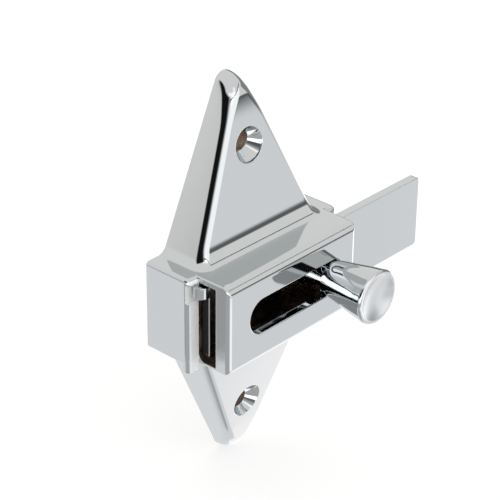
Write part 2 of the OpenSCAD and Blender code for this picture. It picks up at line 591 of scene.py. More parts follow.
def new_group(name: str, inputs: dict[str, str], outputs: dict[str, str]) -> tuple[Graph, dict, dict]:
    """Starts a shader node group.

    Args:
        name: Name of the group.
        inputs: Socket type of each input, by name.
        outputs: Socket type of each output, by name.

    Returns:
        The graph, the sockets that come in and the sockets that go out, both by name.
    """
    tree = bpy.data.node_groups.new(name, "ShaderNodeTree")
    for in_out, sockets in (("INPUT", inputs), ("OUTPUT", outputs)):
        for label, kind in sockets.items():
            tree.interface.new_socket(label, in_out=in_out, socket_type=kind)
    graph = Graph(tree)
    came, goes = graph.add("NodeGroupInput"), graph.add("NodeGroupOutput")
    return graph, {s: came.outputs[s] for s in inputs}, {s: goes.inputs[s] for s in outputs}


FLOAT, VECTOR, COLOUR = "NodeSocketFloat", "NodeSocketVector", "NodeSocketColor"


@dataclass
class SharedEffects:
    """Node groups that several finishes use.

    Attributes:
        stretch: How much closer the rubbing marks lie along X, Y and Z.
        rub_share: Noise values between which the plate turns from clean to rubbed.
        stain_share: Noise values between which the casting turns from dark to light.
        finer: How many times finer the grain is than the stains.
        polish: Waves and rubbing marks of polished plate.
        casting: Stains and grain of a bare casting.
    """

    stretch: Triple = (1.0, 3.0, 14.0)
    rub_share: Point = (0.45, 0.7)
    stain_share: Point = (0.35, 0.65)
    finer: float = 12.0
    polish: bpy.types.NodeTree = field(init=False)
    casting: bpy.types.NodeTree = field(init=False)

    def __post_init__(self) -> None:
        """Builds the groups."""
        self.polish = self._polish()
        self.casting = self._casting()

    def _polish(self) -> bpy.types.NodeTree:
        """Waves and fine rubbing marks of polished plate.

        Returns:
            The node group.
        """
        g, came, goes = new_group(
            "polish_marks",
            {"Place": VECTOR, "Wave Scale": FLOAT, "Rub Scale": FLOAT, "Smooth": FLOAT, "Rubbed": FLOAT},
            {"Roughness": FLOAT, "Wave": FLOAT},
        )
        stretched = g.add("ShaderNodeVectorMath", operation="MULTIPLY")
        g.feed(stretched.inputs[0], came["Place"])
        stretched.inputs[1].default_value = self.stretch
        rub = g.noise(stretched.outputs[0], came["Rub Scale"], detail=4.0)
        share = g.step(rub, *self.rub_share)
        spread = g.math("SUBTRACT", came["Rubbed"], came["Smooth"])
        g.feed(goes["Roughness"], g.math("MULTIPLY_ADD", share, spread, came["Smooth"]))
        g.feed(goes["Wave"], g.noise(came["Place"], came["Wave Scale"], detail=1.5))
        return g.tree

    def _casting(self) -> bpy.types.NodeTree:
        """Stains and grain of a bare casting.

        Returns:
            The node group.
        """
        g, came, goes = new_group(
            "bare_casting",
            {"Place": VECTOR, "Scale": FLOAT, "Light": COLOUR, "Dark": COLOUR},
            {"Colour": COLOUR, "Grain": FLOAT},
        )
        stain = g.step(g.noise(came["Place"], came["Scale"], detail=5.0), *self.stain_share)
        fine = g.math("MULTIPLY", came["Scale"], self.finer)
        g.feed(goes["Colour"], g.mix(stain, came["Dark"], came["Light"]))
        g.feed(goes["Grain"], g.noise(came["Place"], fine, detail=3.0))
        return g.tree


# Finishes


@dataclass(frozen=True)
class Chrome:
    """Polished or satin chrome plate.

    Attributes:
        name: Name of the material.
        colour: Colour that the plate reflects.
        smooth: Roughness where it is clean.
        rubbed: Roughness in the rubbing marks.
        wave: Height of the slow waves, in metres.
        wave_scale: Scale of the waves.
        edge: Radius that softens sharp edges, in metres.
        metallic: 1 for bright plate, less where the plate is thin and dull and a pale colour is painted in
            as a painted highlight.
        rub_scale: Scale of the rubbing marks.
    """

    name: str
    colour: Rgba = (0.575, 0.598, 0.613, 1.0)
    smooth: float = 0.03
    rubbed: float = 0.06
    wave: float = 0.00002
    wave_scale: float = 90.0
    edge: float = 0.0003
    metallic: float = 1.0
    rub_scale: float = 700.0

    def build(self, effects: SharedEffects) -> bpy.types.Material:
        """Makes the material.

        Args:
            effects: The shared node groups.

        Returns:
            The material.
        """
        material, g = new_material(self.name)
        marks = g.group(
            effects.polish, Place=g.place(), Wave_Scale=self.wave_scale, Rub_Scale=self.rub_scale,
            Smooth=self.smooth, Rubbed=self.rubbed,
        )
        soft = g.add("ShaderNodeBevel", samples=6)
        soft.inputs["Radius"].default_value = self.edge
        g.dress(
            Base_Color=self.colour, Metallic=self.metallic, Roughness=marks.outputs["Roughness"],
            Normal=g.bump(
                marks.outputs["Wave"], strength=1.0, distance=self.wave, surface=soft.outputs["Normal"],
            ),
        )
        return material


@dataclass(frozen=True)
class BareCasting:
    """The dull brown inside of the casting, which the plate doesn't reach.

    Attributes:
        name: Name of the material.
        light: Colour of the lighter stains.
        dark: Colour of the darker stains.
        rough: Roughness.
        metallic: How metallic it looks.
        scale: Scale of the stains.
        grain: Height of the grain, in metres.
    """

    name: str
    light: Rgba = (0.2, 0.13, 0.09, 1.0)
    dark: Rgba = (0.035, 0.022, 0.015, 1.0)
    rough: float = 0.5
    metallic: float = 0.6
    scale: float = 220.0
    grain: float = 0.00008

    def build(self, effects: SharedEffects) -> bpy.types.Material:
        """Makes the material.

        Args:
            effects: The shared node groups.

        Returns:
            The material.
        """
        material, g = new_material(self.name)
        stains = g.group(
            effects.casting, Place=g.place(), Scale=self.scale, Light=self.light, Dark=self.dark,
        )
        g.dress(
            Base_Color=stains.outputs["Colour"], Metallic=self.metallic, Roughness=self.rough,
            Normal=g.bump(stains.outputs["Grain"], strength=0.6, distance=self.grain),
        )
        return material


@dataclass(frozen=True)
class Steel:
    """Plain steel with fine marks.

    Attributes:
        name: Name of the material.
        colour: Colour that it reflects.
        rough: Roughness where it is clean.
        marked: How much rougher the rubbing marks are.
        wave: Height of the waves, in metres.
        wave_scale: Scale of the waves.
        rub_scale: Scale of the rubbing marks.
    """

    name: str
    colour: Rgba
    rough: float = 0.25
    marked: float = 0.2
    wave: float = 0.00003
    wave_scale: float = 300.0
    rub_scale: float = 900.0

    def build(self, effects: SharedEffects) -> bpy.types.Material:
        """Makes the material.

        Args:
            effects: The shared node groups.

        Returns:
            The material.
        """
        material, g = new_material(self.name)
        marks = g.group(
            effects.polish, Place=g.place(), Wave_Scale=self.wave_scale, Rub_Scale=self.rub_scale,
            Smooth=self.rough, Rubbed=self.rough + self.marked,
        )
        g.dress(
            Base_Color=self.colour, Metallic=1.0, Roughness=marks.outputs["Roughness"],
            Normal=g.bump(marks.outputs["Wave"], strength=0.5, distance=self.wave),
        )
        return material


@dataclass
class Finishes:
    """All materials of the object.

    Attributes:
        case_plate: Bright plate of the case.
        case_inside: Bare inside of the case.
        case_bore: Bare metal in the screw holes.
        case_step: Dull plate beside the left mouth, painted near-white as a painted highlight in place of
            its bright reflection.
        bar_plate: Bright plate of the bar.
        bar_end: Dark end of the bar, a painted shade: near-black in place of the dark that its end face
            reflects.
        knob_plate: Bright plate of the knob.
        knob_dish: Satin plate in the knob's dish.
        screw: Steel of the knob screw.
        spring: Steel of the friction spring.
    """

    case_plate: bpy.types.Material
    case_inside: bpy.types.Material
    case_bore: bpy.types.Material
    case_step: bpy.types.Material
    bar_plate: bpy.types.Material
    bar_end: bpy.types.Material
    knob_plate: bpy.types.Material
    knob_dish: bpy.types.Material
    screw: bpy.types.Material
    spring: bpy.types.Material

    @classmethod
    def build(cls) -> "Finishes":
        """Makes every finish from its description.

        Returns:
            The finishes.
        """
        effects = SharedEffects()
        return cls(
            case_plate=Chrome("case_chrome").build(effects),
            case_inside=BareCasting("case_inside").build(effects),
            case_bore=BareCasting(
                "case_bore", light=(0.42, 0.33, 0.27, 1.0), dark=(0.22, 0.16, 0.12, 1.0), rough=0.4,
            ).build(effects),
            # Painted highlight: a near-white, barely metallic colour on the left step and the notch stands
            # in for the bright reflection that the chrome shows there.
            case_step=Chrome(
                "case_step", colour=(0.97, 0.98, 0.99, 1.0), smooth=0.5, rubbed=0.7, wave=0.00003,
                wave_scale=500.0, metallic=0.1,
            ).build(effects),
            bar_plate=Chrome("bar_chrome", wave=0.000015).build(effects),
            # Painted shade: the bar's left end is near-black and rough, standing in for the dark that its
            # end face reflects.
            bar_end=Steel("bar_end", (0.03, 0.03, 0.032, 1.0), rough=0.5).build(effects),
            knob_plate=Chrome("knob_chrome", wave=0.000005).build(effects),
            knob_dish=Chrome(
                "knob_satin", smooth=0.34, rubbed=0.36, wave=0.0, edge=0.0001,
            ).build(effects),
            screw=Steel("screw_steel", (0.55, 0.55, 0.56, 1.0)).build(effects),
            spring=Steel("spring_steel", (0.42, 0.42, 0.44, 1.0), rough=0.3).build(effects),
        )


# Pieces


def declare(piece: bpy.types.Object, body: Body, node: str) -> None:
    """Ties a piece to the frame.

    Args:
        piece: The piece.
        body: The body that it rides on.
        node: The CAD node that it stands for.
    """
    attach(piece, body.value)
    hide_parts(node)
    log.info("%s: %d faces, rides on %s", piece.name, len(piece.data.polygons), body.value)


@dataclass
class Ear:
    """The upper screw ear. Its sides lean together towards a round tip, and its face leans back.

    Attributes:
        reach: Height of the tip above the middle of the case.
        foot_half: Half of the width between the straight sides at the foot.
        foot_z: Height of the foot, where the ear leaves the box.
        tip_r: Radius of the tip as seen from the front.
        hole_z: Height of the screw hole.
        face_depth: Depth of the flat face at the screw hole.
        fall: Degrees by which the face leans back.
        crown_r: Radius of the crown as seen from the side.
        bow_start: Height where the face starts to bow towards the crown.
        bow: Strength of that bow.
        foot_along: Length of the fillet at the foot, along the face.
        foot_out: Its reach over the box.
        edge_r: Radius of the long edges.
        crown_edge_r: Radius of the edges at the tip.
        crown_above: How far above the screw hole the edges start to grow rounder.
        fullest: Most that an edge takes of the ear's half width or depth.
        flank_r: Radius between the sides and the box.
        sink: How far the foot is sunk into the box.
        body_heights: Heights of the sections between the foot and the crown.
        pocket_low: Lower end of the hollow.
        pocket_high: Upper end of the hollow.
        pocket_r: Radius of the hollow's inner edges.
        steps: Number of steps across an edge.
        lean: Lean of the sides, in radians.
        slope: Lean of the face, as depth over height.
        crown_z: Height of the crown's middle.
        crown_end: Height where the crown meets the bow.
        crown_depth: Depth of the crown's middle.
    """

    reach: float = 50.8
    foot_half: float = 19.85
    foot_z: float = 11.4
    tip_r: float = 3.1
    hole_z: float = 34.925
    face_depth: float = 8.1
    fall: float = 8.8
    crown_r: float = 6.4
    bow_start: float = 41.0
    bow: float = 0.008
    foot_along: float = 4.9
    foot_out: float = 2.6
    edge_r: float = 1.9
    crown_edge_r: float = 3.4
    crown_above: float = 4.0
    fullest: float = 0.96
    flank_r: float = 3.0
    sink: float = 0.02
    body_heights: tuple[float, ...] = (
        17.5, 20.0, 24.0, 28.0, 32.0, 36.0, 40.0, 41.0, 41.8, 42.6, 43.4, 44.2, 45.0,
    )
    pocket_low: float = 7.4
    pocket_high: float = 46.0
    pocket_r: float = 1.0
    steps: int = 8
    lean: float = field(init=False)
    slope: float = field(init=False)
    crown_z: float = field(init=False)
    crown_end: float = field(init=False)
    crown_depth: float = field(init=False)

    def __post_init__(self) -> None:
        """Works out the slopes and the crown, which runs on from the bow without a kink."""
        rise = self.tip_z - self.foot_z
        span = math.hypot(self.foot_half, rise)
        self.lean = math.atan2(self.foot_half, rise) - math.asin(self.tip_r / span)
        self.slope = math.tan(math.radians(self.fall))
        self.crown_z = self.reach - self.crown_r
        turn = math.radians(self.fall)
        for _ in range(4):
            self.crown_end = self.crown_z + self.crown_r * math.sin(turn)
            turn = math.atan(self.slope + 2 * self.bow * (self.crown_end - self.bow_start))
        self.crown_depth = self.face(self.crown_end) - self.crown_r * math.cos(turn)

    @property
    def tip_z(self) -> float:
        """Height of the middle of the round tip."""
        return self.reach - self.tip_r

    @property
    def low_z(self) -> float:
        """Height where the fillets of the foot start, just inside the box."""
        return self.foot_z - self.sink

    def flat_depth(self, z: float) -> float:
        """Depth of the ear's flat face at a height."""
        return self.face_depth + (self.hole_z - z) * self.slope

    def face(self, z: float) -> float:
        """Depth of the ear's face at a height, with the slow bow below its crown."""
        return self.flat_depth(z) - self.bow * max(z - self.bow_start, 0.0) ** 2

    def straight_half(self, z: float) -> float:
        """Half of the width between the straight sides at a height."""
        return self.foot_half - (z - self.foot_z) * math.tan(self.lean)

    def half(self, z: float) -> float:
        """Half of the ear's width at a height, with its foot and its tip.

        Args:
            z: The height.

        Returns:
            Half of the width.
        """
        if z > self.tip_z + self.tip_r * math.sin(self.lean):
            return math.sqrt(max(self.tip_r**2 - (z - self.tip_z) ** 2, 0.0))
        centre_z = self.low_z + self.flank_r
        if z < centre_z - self.flank_r * math.sin(self.lean):
            centre_x = self.straight_half(centre_z) + self.flank_r / math.cos(self.lean)
            return centre_x - math.sqrt(max(self.flank_r**2 - (z - centre_z) ** 2, 0.0))
        return self.straight_half(z)

    def depth(self, z: float) -> float:
        """Depth of the ear's face at a height, with its foot and its crown.

        Args:
            z: The height.

        Returns:
            The depth.
        """
        if z > self.crown_end:
            return self.crown_depth + math.sqrt(max(self.crown_r**2 - (z - self.crown_z) ** 2, 0.0))
        if z < self.low_z + self.foot_along:
            share = min(1 - (z - self.low_z) / self.foot_along, 1.0)
            return self.flat_depth(z) + self.foot_out * (1 - math.sqrt(1 - share**2))
        return self.face(z)

    def edge(self, z: float) -> float:
        """Radius of the edge at a height, which grows smoothly towards the tip.

        Args:
            z: The height.

        Returns:
            The radius.
        """
        start = self.hole_z + self.crown_above
        share = max(0.0, min(1.0, (z - start) / (self.reach - start)))
        return self.edge_r + (self.crown_edge_r - self.edge_r) * share**2 * (3 - 2 * share)

    def ring(self, z: float) -> list[Vector]:
        """Section of the ear at a height.

        Args:
            z: The height.

        Returns:
            Its points, from the right foot on the door round to the left one.
        """
        half, depth = self.half(z), self.depth(z)
        wide = deep = self.edge(z)
        held = max(z, self.low_z)
        if held < self.foot_z + self.foot_along:
            wide += half - self.straight_half(held)
            deep += depth - self.flat_depth(held)
        wide, deep = min(wide, half * self.fullest), min(deep, depth * self.fullest)
        front = [
            (half - wide + wide * math.cos(a), depth - deep + deep * math.sin(a))
            for a in (math.pi / 2 * i / self.steps for i in range(self.steps + 1))
        ]
        right = [Vector((x, -d, z)) for x, d in front]
        left = [Vector((-x, -d, z)) for x, d in reversed(front)]
        return [Vector((half, 0, z)), *right, *left, Vector((-half, 0, z))]

    def heights(self) -> list[float]:
        """Heights of the sections, close together where the ear curves.

        Returns:
            The heights, from the foot up.
        """
        turns = [math.sin(math.radians(a)) for a in range(90, -1, -5)]
        foot = [self.low_z + self.foot_along * (1 - turn) for turn in turns]
        rise = self.reach - self.crown_end
        crown = [self.crown_end + rise * math.sin(math.radians(a)) for a in range(0, 88, 4)]
        return [self.foot_z - CLEAR, *foot, *self.body_heights, *crown]

    def outside(self) -> Solid:
        """The ear's outer shape, sunk a little into the box."""
        return Solid.lofted([self.ring(z) for z in self.heights()])

    def pocket(self, wall: float, boss_r: float) -> Solid:
        """The hollow behind the ear, round the boss of its screw hole.

        Args:
            wall: Wall of the casting.
            boss_r: Radius of the boss.

        Returns:
            The tool that cuts the hollow.
        """
        rings = []
        for z in (self.pocket_low, self.pocket_high):
            half = self.straight_half(z) - wall / math.cos(self.lean)
            deep = self.flat_depth(z) - wall
            corners = (half, CLEAR), (half, -deep), (-half, -deep), (-half, CLEAR)
            rings.append([Vector((x, y, z)) for x, y in corners])
        tool = Solid.lofted(rings)
        tool.round_edges(lambda a, b: abs(a.z - b.z) > NEAR and a.y < 0, self.pocket_r, steps=4)
        near, far = -2 * CLEAR, 2 * self.face_depth
        profile = [(0, near), (boss_r, near), (boss_r, far), (0, far)]
        boss = Solid.turned(profile, x=0, z=self.hole_z, steps=48)
        return tool.combine(Cut.TAKE, boss).paint(Skin.INNER)

    def screw_hole(self, hole_r: float, sink_r: float, sink: float) -> Solid:
        """The tool that cuts the countersunk hole.

        Args:
            hole_r: Radius of the hole.
            sink_r: Radius of the countersink on the face.
            sink: Depth of the countersink.

        Returns:
            The tool, with a plated countersink and a bare bore.
        """
        bottom, far = self.face_depth - sink, 2 * self.face_depth
        profile = [
            (0, -CLEAR), (hole_r, -CLEAR), (hole_r, bottom), (sink_r, self.face_depth), (sink_r, far),
            (0, far),
        ]
        tool = Solid.turned(profile, x=0, z=self.hole_z, steps=96)
        return tool.paint_where(Skin.BORE, lambda m: -m.y < bottom - SLIGHT)


@dataclass
class Casting:
    """The hollow case with its two screw ears.

    Attributes:
        width: Width of the box on the door.
        height: Height of the box.
        base_depth: Depth of the box at its two sides, up to the steps.
        rail_width: Width of the front part that holds the bar.
        depth: Depth of the front part.
        wall: Wall of the casting.
        long_edge_r: Radius of the front part's upper long edge.
        low_edge_r: Radius of its lower long edge.
        end_edge_r: Radius of its upright edges.
        rail_side_r: Radius of the edges of its two ends.
        rail_root: Depth inside the box where the front part starts.
        base_edge_r: Radius of the upright edges at the steps.
        rim_top_r: Radius of the upper edges at the steps.
        rim_low_r: Radius of the lower edges at the steps.
        side_edge_r: Radius of the edges of the box's two sides.
        room_height: Height of the room that the bar runs in.
        slot_left: Left end of the slot.
        slot_right: Right end of the slot.
        slot_height: Height of the slot.
        slot_edge_r: Radius of the slot's rim.
        hole_r: Radius of the screw holes.
        sink_r: Radius of their countersinks.
        sink_depth: Depth of their countersinks.
        boss_wall: Wall of the bosses round them.
        mouth_depth: Depth of the front side of the bar's two mouths.
        mouth_low: Lower side of the left mouth.
        mouth_corner_r: Radius of its lower corner.
        mouth_wall: Wall that its lower part leaves standing.
        mouth_back: How far in front of the step its plain part starts.
        notch_right: Right end of the notch for the stop lug.
        notch_low: Lower side of the notch.
        notch_high: Upper side of the notch.
        notch_depth: Depth of the notch's floor.
        lip_drop: How far the lip hangs below the box.
        lip_root: How far the lip reaches up into the box.
        lip_corner_r: Radius of the lip's upright edge.
        lip_low_r: Radius of the lip's lower edges.
        step_lean: How far the left step's face leans back.
        draft: How far the front part's ends lean.
        ear: The upper ear, which is mirrored for the lower one.
    """

    width: float = 50.8
    height: float = 22.8
    base_depth: float = 13.5
    rail_width: float = 44.4
    depth: float = 22.6
    wall: float = 2.0
    long_edge_r: float = 2.6
    low_edge_r: float = 1.5
    end_edge_r: float = 1.2
    rail_side_r: float = 0.4
    rail_root: float = 5.0
    base_edge_r: float = 1.0
    rim_top_r: float = 1.4
    rim_low_r: float = 1.0
    side_edge_r: float = 0.9
    room_height: float = 20.05
    slot_left: float = -14.8
    slot_right: float = 18.2
    slot_height: float = 9.0
    slot_edge_r: float = 0.3
    hole_r: float = 2.45
    sink_r: float = 4.45
    sink_depth: float = 2.8
    boss_wall: float = 2.8
    mouth_depth: float = 18.7
    mouth_low: float = -10.6
    mouth_corner_r: float = 2.0
    mouth_wall: float = 0.5
    mouth_back: float = 0.6
    notch_right: float = -22.1
    notch_low: float = 5.2
    notch_high: float = 9.825
    notch_depth: float = 12.3
    lip_drop: float = 2.1
    lip_root: float = 1.5
    lip_corner_r: float = 0.95
    lip_low_r: float = 0.5
    step_lean: float = 0.45
    draft: float = 0.1
    ear: Ear = field(default_factory=Ear)

    def rounded_block(
        self, plan: list[Point], upright_r: float, top_r: float, low_r: float, side_r: float,
    ) -> Solid:
        """One of the two blocks that make the box, with its front edges rounded.

        Args:
            plan: Corners of the block as seen from above, X and depth.
            upright_r: Radius of the upright front edges.
            top_r: Radius of the upper front edge.
            low_r: Radius of the lower front edge.
            side_r: Radius of the edges of the two sides.

        Returns:
            The block.
        """
        half = self.height / 2
        solid = Solid.prism([Vector((x, -d, -half)) for x, d in plan], Vector((0, 0, self.height)))
        wide, front = max(x for x, _ in plan), max(d for _, d in plan)

        def ahead(p: Vector) -> bool:
            """Whether a corner is on the front."""
            return -p.y > front - NEAR

        def upright(a: Vector, b: Vector) -> bool:
            """Whether an edge is an upright front one."""
            return abs(a.z - b.z) > NEAR and ahead(a) and abs(a.x) > wide - NEAR

        def top(a: Vector, b: Vector) -> bool:
            """Whether an edge is the upper front one."""
            return min(a.z, b.z) > 0 and ahead(a) and ahead(b)

        def low(a: Vector, b: Vector) -> bool:
            """Whether an edge is the lower front one."""
            return max(a.z, b.z) < 0 and ahead(a) and ahead(b)

        def side(a: Vector, b: Vector) -> bool:
            """Whether an edge runs from the door to the front."""
            return abs(a.z - b.z) < NEAR and ahead(a) != ahead(b)

        return solid.round_together(
            [(upright, upright_r), (top, top_r), (low, low_r), (side, side_r)], steps=10,
        )

    def box(self) -> Solid:
        """The stepped box, with its edges rounded.

        Returns:
            The box.
        """
        base, rail = self.width / 2, self.rail_width / 2
        grow = 2 * self.draft * (self.base_depth - self.rail_root) / (self.depth - self.base_depth)
        low_plan = [
            (-base, 0), (-base, self.base_depth - self.step_lean),
            (-rail - self.draft, self.base_depth), (base, self.base_depth), (base, 0),
        ]
        high_plan = [
            (-rail - self.draft - grow, self.rail_root), (-rail + self.draft, self.depth),
            (rail - self.draft, self.depth), (rail + self.draft + grow, self.rail_root),
        ]
        solid = self.rounded_block(
            low_plan, self.base_edge_r, self.rim_top_r, self.rim_low_r, self.side_edge_r,
        )
        front = self.rounded_block(
            high_plan, self.end_edge_r, self.long_edge_r, self.low_edge_r, self.rail_side_r,
        )
        return solid.combine(Cut.ADD, front)

    def lip(self) -> Solid:
        """The lip that hangs below the step at the left end.

        Returns:
            The lip.
        """
        base, rail = -self.width / 2, -self.rail_width / 2
        front, low = self.base_depth, -self.height / 2 - self.lip_drop
        back = front - self.wall
        plan = [(base, back), (base, front - self.step_lean), (rail, front), (rail, back)]
        solid = Solid.prism(
            [Vector((x, -d, low)) for x, d in plan], Vector((0, 0, self.lip_drop + self.lip_root)),
        )
        solid.round_edges(
            lambda a, b: abs(a.z - b.z) > NEAR and a.x < base + NEAR and -a.y > front - NEAR,
            self.lip_corner_r, steps=8,
        )
        solid.round_edges(lambda a, b: max(a.z, b.z) < low + CLOSE, self.lip_low_r, steps=4)
        return solid

    def hollows(self) -> list[Solid]:
        """The tools that empty the casting.

        Returns:
            The tools.
        """
        base_room = self.width / 2 - self.wall
        rail_room = self.rail_width / 2 - self.wall
        tall = self.room_height / 2
        far = self.width / 2 + CLEAR
        front, step = -self.mouth_depth, -self.base_depth
        rooms = [
            ((-base_room, step + self.wall, -tall), (base_room, CLEAR, tall)),
            ((-rail_room, self.wall - self.depth, -tall), (rail_room, CLEAR, tall)),
            ((0, front, -tall), (far, step, tall)),
        ]
        tools = [Solid.block(Vector(low), Vector(high)).paint(Skin.INNER) for low, high in rooms]
        mouth = Solid.block(
            Vector((-far, front, self.mouth_low)), Vector((-rail_room - self.mouth_wall, step, tall)),
        )
        mouth.round_edges(
            lambda a, b: abs(a.x - b.x) > NEAR and all(p.y > step - NEAR and p.z < 0 for p in (a, b)),
            self.mouth_corner_r, steps=8,
        )
        way_in = Solid.block(
            Vector((-far, front, -tall)), Vector((CLEAR, step - self.mouth_back, tall)),
        )
        notch = Solid.block(
            Vector((-far, step - CLEAR, self.notch_low)),
            Vector((self.notch_right, -self.notch_depth, self.notch_high)),
        )
        pocket = self.ear.pocket(self.wall, self.hole_r + self.boss_wall)
        # The notch gets the pale skin of the left step, a painted highlight.
        return [
            *tools, mouth.paint(Skin.INNER), way_in.paint(Skin.INNER), notch.paint(Skin.SATIN_PAINTED_SHEEN), pocket,
            pocket.upside_down(),
        ]

    def slot(self) -> Solid:
        """The tool that cuts the slot in the front.

        Returns:
            The tool.
        """
        around, end_r = 96, self.slot_height / 2
        tool = Solid()
        made = bmesh.ops.create_circle(tool.bm, cap_ends=True, radius=end_r, segments=around)
        turn = Matrix.Rotation(math.pi / around, 3, "Z")
        bmesh.ops.rotate(tool.bm, verts=made["verts"], cent=(0, 0, 0), matrix=turn)
        inside = self.depth - self.wall - CLEAR
        for vert in made["verts"]:
            x, z, _ = vert.co
            x += self.slot_right - end_r if x > 0 else self.slot_left + end_r
            vert.co = Vector((x, -inside, z))
        pushed = bmesh.ops.extrude_face_region(tool.bm, geom=list(tool.bm.faces), use_keep_orig=True)
        moved = [v for v in pushed["geom"] if isinstance(v, bmesh.types.BMVert)]
        bmesh.ops.translate(tool.bm, vec=(0, -self.wall - 3 * CLEAR, 0), verts=moved)
        tool.face_out()
        return tool

    def build(self, finishes: Finishes) -> bpy.types.Object:
        """Makes the case and ties it to the frame.

        Args:
            finishes: The materials.

        Returns:
            The case.
        """
        solid = self.box()
        ear = self.ear.outside()
        solid.combine(Cut.ADD, ear, ear.upside_down(), self.lip())
        hole = self.ear.screw_hole(self.hole_r, self.sink_r, self.sink_depth)
        solid.combine(Cut.TAKE, *self.hollows(), self.slot(), hole, hole.upside_down())
        front, end_r = self.depth - CLOSE, self.slot_height / 2

        def on_slot(p: Vector) -> bool:
            """Whether a corner is on the slot's rim."""
            across = self.slot_left - SLIGHT < p.x < self.slot_right + SLIGHT
            return -p.y > front and across and abs(p.z) < end_r + SLIGHT

        solid.round_edges(lambda a, b: on_slot(a) and on_slot(b), self.slot_edge_r, steps=4)
        rail, step = self.rail_width / 2, self.base_depth - self.step_lean
        # The left step's face gets the pale skin, a painted highlight in place of its bright reflection.
        solid.paint_where(
            Skin.SATIN_PAINTED_SHEEN, lambda m: m.x < -rail and step + CLOSE < -m.y < self.base_depth - CLOSE,
        )
        skins = [finishes.case_plate, finishes.case_inside, finishes.case_bore, finishes.case_step]
        made = solid.piece("case_casting", skins, crease=32.0)
        declare(made, Body.CASE, "case")
        return made


@dataclass
class SlideBar:
    """The flat bar with its bent stop lug.

    Attributes:
        left: Left end of the flat plate.
        right: Right end.
        height: Height of the plate.
        back: Depth of its back.
        thick: Its thickness.
        corner_r: Radius of its corners.
        edge_r: Radius of its edges.
        lug_height: Height of the stop lug.
        lug_thick: Thickness of the stop lug.
        lug_edge_r: Radius of its edges.
        lug_root: How far the lug reaches into the plate.
        lug_plain: How far from the bend and from its end its edges stay sharp.
        bend_r: Inner radius of the bend.
        leg: Length of the lug beyond the bend.
        screw_x: Place of the knob screw.
        screw_r: Radius of its hole.
        head_r: Radius of the countersink for its head.
        head_gap: How deep the countersink stays at its full width.
    """

    left: float = -21.6
    right: float = 54.6
    height: float = 19.05
    back: float = 13.8
    thick: float = 2.4
    corner_r: float = 1.2
    edge_r: float = 0.25
    lug_height: float = 2.8
    lug_thick: float = 1.6
    lug_edge_r: float = 0.75
    lug_root: float = 1.5
    lug_plain: float = 0.3
    bend_r: float = 0.4
    leg: float = 0.7
    screw_x: float = KNOB_X
    screw_r: float = 2.05
    head_r: float = 3.85
    head_gap: float = 0.1

    def plate(self) -> Solid:
        """The flat plate with rounded corners and edges.

        Returns:
            The plate.
        """
        half = self.height / 2
        outline = [(self.left, -half), (self.right, -half), (self.right, half), (self.left, half)]
        solid = Solid.prism(
            [Vector((x, -self.back, z)) for x, z in outline], Vector((0, -self.thick, 0)),
        )
        solid.round_edges(lambda a, b: abs(a.y - b.y) > self.thick - SLIGHT, self.corner_r, steps=8)
        solid.round_edges(lambda a, b: abs(a.y - b.y) < CLOSE, self.edge_r, steps=3)
        return solid

    def lug(self) -> Solid:
        """The stop lug, bent round towards the door.

        Returns:
            The lug.
        """
        top = self.height / 2
        front = self.back + self.thick
        bend_x = self.left - self.bend_r
        centre = (bend_x, front - self.lug_thick - self.bend_r)
        outer_r = self.bend_r + self.lug_thick
        root, end = self.left + self.lug_root, centre[1] - self.leg
        outline = [
            (root, front), *arc(centre, outer_r, 90, 180, steps=12), (bend_x - outer_r, end),
            (bend_x - self.bend_r, end), *arc(centre, self.bend_r, 180, 90, steps=8),
            (root, front - self.lug_thick),
        ]
        solid = Solid.prism(
            [Vector((x, -d, top - self.lug_height)) for x, d in outline], Vector((0, 0, self.lug_height)),
        )
        bent, free = bend_x - self.lug_plain, end + self.lug_plain
        solid.round_edges(
            lambda a, b: abs(a.z - b.z) < CLOSE and max(a.x, b.x) < bent and max(-a.y, -b.y) > free,
            self.lug_edge_r, steps=6,
        )
        return solid

    def screw_seat(self) -> Solid:
        """The tool that cuts the countersunk hole for the knob screw.

        Returns:
            The tool.
        """
        low, high = self.back - CLEAR, self.back + self.thick + CLEAR
        rim = self.back + self.head_gap
        profile = [
            (0, low), (self.head_r, low), (self.head_r, rim),
            (self.screw_r, rim + self.head_r - self.screw_r), (self.screw_r, high), (0, high),
        ]
        return Solid.turned(profile, x=self.screw_x, z=0, steps=64)

    def build(self, finishes: Finishes) -> bpy.types.Object:
        """Makes the bar and ties it to the frame.

        Args:
            finishes: The materials.

        Returns:
            The bar.
        """
        solid = self.plate().combine(Cut.ADD, self.lug())
        solid.combine(Cut.TAKE, self.screw_seat())
        front = self.back + self.thick - self.edge_r
        # The bar's left end face gets the near-black second skin, a painted shade.
        solid.paint_where(Skin.INNER, lambda m: abs(m.x - self.left) < SLIGHT and -m.y < front)
        made = solid.piece("bar_plate", [finishes.bar_plate, finishes.bar_end], crease=40.0)
        declare(made, Body.SLIDE, "slide_bar")
        return made


